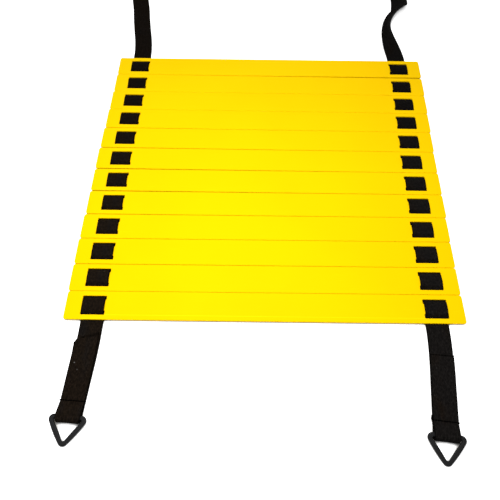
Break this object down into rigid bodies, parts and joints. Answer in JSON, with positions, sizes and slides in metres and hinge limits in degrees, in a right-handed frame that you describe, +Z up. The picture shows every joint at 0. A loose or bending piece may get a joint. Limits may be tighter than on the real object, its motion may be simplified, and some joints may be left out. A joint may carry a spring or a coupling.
{
  "type": "agility ladder",
  "caption": "Flat-rung training ladder: slotted plastic rungs slide on webbing straps woven through them, with triangular end rings and the spare webbing folded in tied hanks",
  "frame": {"origin": "on the floor under the middle of the whole ladder as it lies", "axes": "+Z up, +X along the rungs to the right as seen from the near rings, +Y along the straps away from the near rings"},
  "size_m": [0.4494, 1.0613, 0.0354],
  "materials": {
    "yellow_plastic": "bright yellow flexible plastic sheet with a soft sheen, edges rounded over",
    "black_webbing": "plain black woven webbing, matte, slightly warm",
    "black_plastic": "moulded black plastic, matte with a faint sheen",
    "hook_and_loop": "black hook-and-loop tape, matte"
  },
  "bodies": {
    "rung_01": {"rung_01": "yellow_plastic", "left_strap_01": "black_webbing", "right_strap_01": "black_webbing", "left_strap_near_end": "black_webbing", "right_strap_near_end": "black_webbing"},
    "rung_02": {"rung_02": "yellow_plastic", "left_strap_02": "black_webbing", "right_strap_02": "black_webbing"},
    "rung_03": {"rung_03": "yellow_plastic", "left_strap_03": "black_webbing", "right_strap_03": "black_webbing"},
    "rung_04": {"rung_04": "yellow_plastic", "left_strap_04": "black_webbing", "right_strap_04": "black_webbing"},
    "rung_05": {"rung_05": "yellow_plastic", "left_strap_05": "black_webbing", "right_strap_05": "black_webbing"},
    "rung_06": {"rung_06": "yellow_plastic", "left_strap_06": "black_webbing", "right_strap_06": "black_webbing"},
    "rung_07": {"rung_07": "yellow_plastic", "left_strap_07": "black_webbing", "right_strap_07": "black_webbing"},
    "rung_08": {"rung_08": "yellow_plastic", "left_strap_08": "black_webbing", "right_strap_08": "black_webbing"},
    "rung_09": {"rung_09": "yellow_plastic", "left_strap_09": "black_webbing", "right_strap_09": "black_webbing"},
    "rung_10": {"rung_10": "yellow_plastic", "left_strap_10": "black_webbing", "right_strap_10": "black_webbing"},
    "rung_11": {"rung_11": "yellow_plastic", "left_strap_11": "black_webbing", "right_strap_11": "black_webbing"},
    "rung_12": {"rung_12": "yellow_plastic", "left_strap_12": "black_webbing", "right_strap_12": "black_webbing", "left_strap_far_run": "black_webbing", "left_strap_hank": "black_webbing", "left_hank_tie": "hook_and_loop", "left_strap_far_end": "black_webbing", "right_strap_far_run": "black_webbing", "right_strap_hank": "black_webbing", "right_hank_tie": "hook_and_loop", "right_strap_far_end": "black_webbing"},
    "left_near_ring": {"left_near_ring": "black_plastic"},
    "left_far_ring": {"left_far_ring": "black_plastic"},
    "right_near_ring": {"right_near_ring": "black_plastic"},
    "right_far_ring": {"right_far_ring": "black_plastic"}
  },
  "joints": [
    {"name": "rung_02_slide", "type": "slide", "parent": "rung_01", "child": "rung_02", "axis": [0, 1, 0], "range_m": [0, 0.345]},
    {"name": "rung_03_slide", "type": "slide", "parent": "rung_02", "child": "rung_03", "axis": [0, 1, 0], "range_m": [0, 0.345]},
    {"name": "rung_04_slide", "type": "slide", "parent": "rung_03", "child": "rung_04", "axis": [0, 1, 0], "range_m": [0, 0.345]},
    {"name": "rung_05_slide", "type": "slide", "parent": "rung_04", "child": "rung_05", "axis": [0, 1, 0], "range_m": [0, 0.345]},
    {"name": "rung_06_slide", "type": "slide", "parent": "rung_05", "child": "rung_06", "axis": [0, 1, 0], "range_m": [0, 0.345]},
    {"name": "rung_07_slide", "type": "slide", "parent": "rung_06", "child": "rung_07", "axis": [0, 1, 0], "range_m": [0, 0.345]},
    {"name": "rung_08_slide", "type": "slide", "parent": "rung_07", "child": "rung_08", "axis": [0, 1, 0], "range_m": [0, 0.345]},
    {"name": "rung_09_slide", "type": "slide", "parent": "rung_08", "child": "rung_09", "axis": [0, 1, 0], "range_m": [0, 0.345]},
    {"name": "rung_10_slide", "type": "slide", "parent": "rung_09", "child": "rung_10", "axis": [0, 1, 0], "range_m": [0, 0.345]},
    {"name": "rung_11_slide", "type": "slide", "parent": "rung_10", "child": "rung_11", "axis": [0, 1, 0], "range_m": [0, 0.345]},
    {"name": "rung_12_slide", "type": "slide", "parent": "rung_11", "child": "rung_12", "axis": [0, 1, 0], "range_m": [0, 0.345]},
    {"name": "left_near_ring_swing", "type": "hinge", "parent": "rung_01", "child": "left_near_ring", "pos_m": [-0.19155, -0.49138, 0.00388], "axis": [-0.9974, 0.0715, 0], "range_deg": [0, 150]},
    {"name": "right_near_ring_swing", "type": "hinge", "parent": "rung_01", "child": "right_near_ring", "pos_m": [0.17209, -0.50276, 0.00388], "axis": [-0.9943, 0.1063, 0], "range_deg": [0, 150]},
    {"name": "left_far_ring_swing", "type": "hinge", "parent": "rung_12", "child": "left_far_ring", "pos_m": [-0.2063, 0.49454, 0.03148], "axis": [1, 0, 0], "range_deg": [0, 150]},
    {"name": "right_far_ring_swing", "type": "hinge", "parent": "rung_12", "child": "right_far_ring", "pos_m": [0.2063, 0.49454, 0.03148], "axis": [1, 0, 0], "range_deg": [0, 150]}
  ]
}
